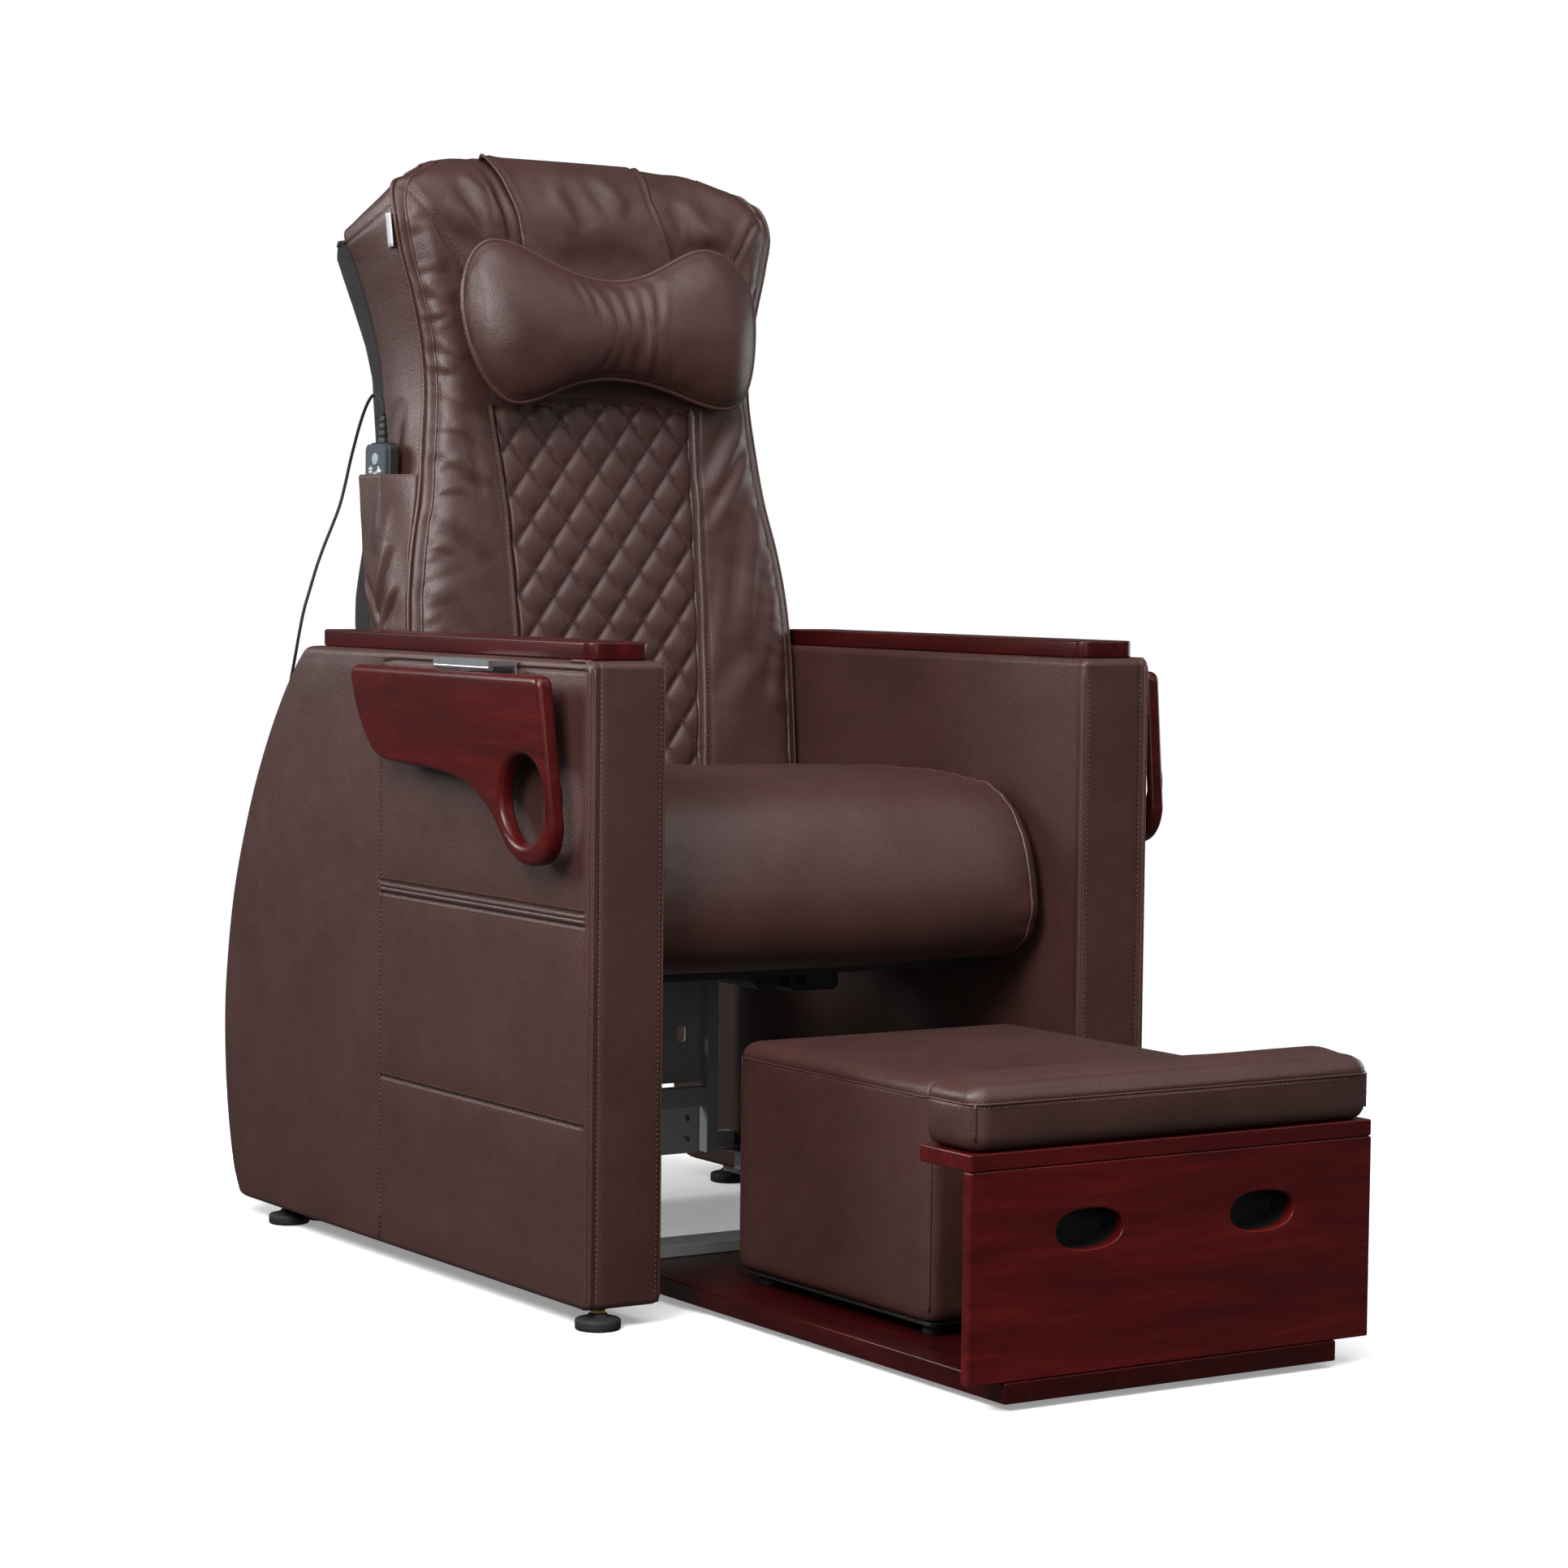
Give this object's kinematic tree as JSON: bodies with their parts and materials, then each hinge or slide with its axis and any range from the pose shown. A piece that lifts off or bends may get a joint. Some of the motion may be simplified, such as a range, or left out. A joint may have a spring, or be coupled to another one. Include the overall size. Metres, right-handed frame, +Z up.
{
  "type": "pedicure spa chair",
  "caption": "Upholstered pedicure chair with reclining back, head pillow, corded handset, flip-up side trays and a pull-out foot bench with a stool.",
  "frame": {"origin": "on the floor, under the middle of the chair's box", "axes": "+Z up; the sitter faces -Y; +X is the sitter's left when seen from behind, the handset is on -X"},
  "size_m": [0.7394, 1.277, 1.1595],
  "materials": {
    "leather": "satin dark brown synthetic leather",
    "wood": "satin red mahogany lacquer",
    "plywood": "bare plywood",
    "grey_paint": "grey powder coat",
    "steel": "zinc plated steel",
    "aluminium": "drawn tube",
    "black_plastic": "moulded black",
    "handset_blue": "satin blue grey",
    "button_grey": "soft grey keys",
    "black_cloth": "black stretch cloth",
    "rubber": "matt black rubber"
  },
  "bodies": {
    "base": {"actuator_gearbox": "black_plastic", "actuator_motor": "black_plastic", "actuator_tube": "aluminium", "control_box": "black_plastic", "cord_gland": "black_plastic", "front_left_levelling_foot": "rubber", "front_right_levelling_foot": "rubber", "handset_cord": "rubber", "inner_left_levelling_foot": "rubber", "inner_right_levelling_foot": "rubber", "left_arm_cap": "wood", "left_arm_panel": "leather", "left_recline_bracket": "steel", "left_slide_rail": "steel", "left_tray_hinge": "steel", "mains_inlet": "black_plastic", "rear_frame": "grey_paint", "rear_left_levelling_foot": "rubber", "rear_lower_plate": "grey_paint", "rear_panel": "grey_paint", "rear_right_levelling_foot": "rubber", "right_arm_cap": "wood", "right_arm_panel": "leather", "right_recline_bracket": "steel", "right_slide_rail": "steel", "right_tray_hinge": "steel", "seat_cushion": "leather", "seat_frame": "grey_paint", "seat_pan": "plywood"},
    "backrest": {"backrest_cushion": "leather", "back_shell": "black_cloth", "back_frame": "steel", "recline_shaft": "steel", "lever_pin": "steel", "massage_motor": "black_plastic", "handset_pocket": "leather", "handset_case": "black_plastic", "handset_face": "handset_blue", "handset_strain_relief": "black_plastic"},
    "pillow": {"head_pillow": "leather", "pillow_strap": "leather"},
    "actuator_rod": {"actuator_rod": "steel"},
    "left_tray": {"left_tray": "wood", "left_tray_leaf": "steel"},
    "right_tray": {"right_tray": "wood", "right_tray_leaf": "steel"},
    "foot_bench": {"bench_front_panel": "wood", "bench_top_board": "wood", "bench_base_board": "wood", "bench_cushion": "leather", "left_bench_glide": "rubber", "right_bench_glide": "rubber", "bench_brace": "wood", "carriage_bar": "grey_paint"},
    "stool": {"stool_body": "leather", "stool_base": "rubber"},
    "button_1": {"handset_button_1": "button_grey"},
    "button_2": {"handset_button_2": "button_grey"},
    "button_3": {"handset_button_3": "button_grey"},
    "button_4": {"handset_button_4": "button_grey"}
  },
  "joints": [
    {"name": "recline", "type": "hinge", "parent": "base", "child": "backrest", "pos_m": [0, 0.3485, 0.43], "axis": [-1, 0, 0], "range_deg": [0, 40], "deforming": ["handset_cord"]},
    {"name": "actuator_stroke", "type": "slide", "parent": "base", "child": "actuator_rod", "axis": [0, -1, 0], "range_m": [0, 0.089]},
    {"name": "pillow_height", "type": "slide", "parent": "backrest", "child": "pillow", "axis": [0, 0, 1], "range_m": [-0.03, 0.04], "deforming": ["pillow_strap"]},
    {"name": "left_tray_flip", "type": "hinge", "parent": "base", "child": "left_tray", "pos_m": [-0.361, 0, 0.622], "axis": [0, 1, 0], "range_deg": [0, 92]},
    {"name": "right_tray_flip", "type": "hinge", "parent": "base", "child": "right_tray", "pos_m": [0.361, 0, 0.622], "axis": [0, -1, 0], "range_deg": [0, 92]},
    {"name": "bench_slide", "type": "slide", "parent": "base", "child": "foot_bench", "axis": [0, 1, 0], "range_m": [0, 0.42]},
    {"name": "stool_slide", "type": "slide", "parent": "foot_bench", "child": "stool", "axis": [0, -1, 0], "range_m": [0, 0.1]},
    {"name": "button_1_press", "type": "slide", "parent": "backrest", "child": "button_1", "axis": [1, 0, 0], "range_m": [0, 0.0012], "stiffness_N_per_m": 400},
    {"name": "button_2_press", "type": "slide", "parent": "backrest", "child": "button_2", "axis": [1, 0, 0], "range_m": [0, 0.0012], "stiffness_N_per_m": 400},
    {"name": "button_3_press", "type": "slide", "parent": "backrest", "child": "button_3", "axis": [1, 0, 0], "range_m": [0, 0.0012], "stiffness_N_per_m": 400},
    {"name": "button_4_press", "type": "slide", "parent": "backrest", "child": "button_4", "axis": [1, 0, 0], "range_m": [0, 0.0012], "stiffness_N_per_m": 400}
  ],
  "couplings": [
    {"joint": "actuator_stroke", "follows": "recline", "m_per_rad": 0.12738}
  ]
}
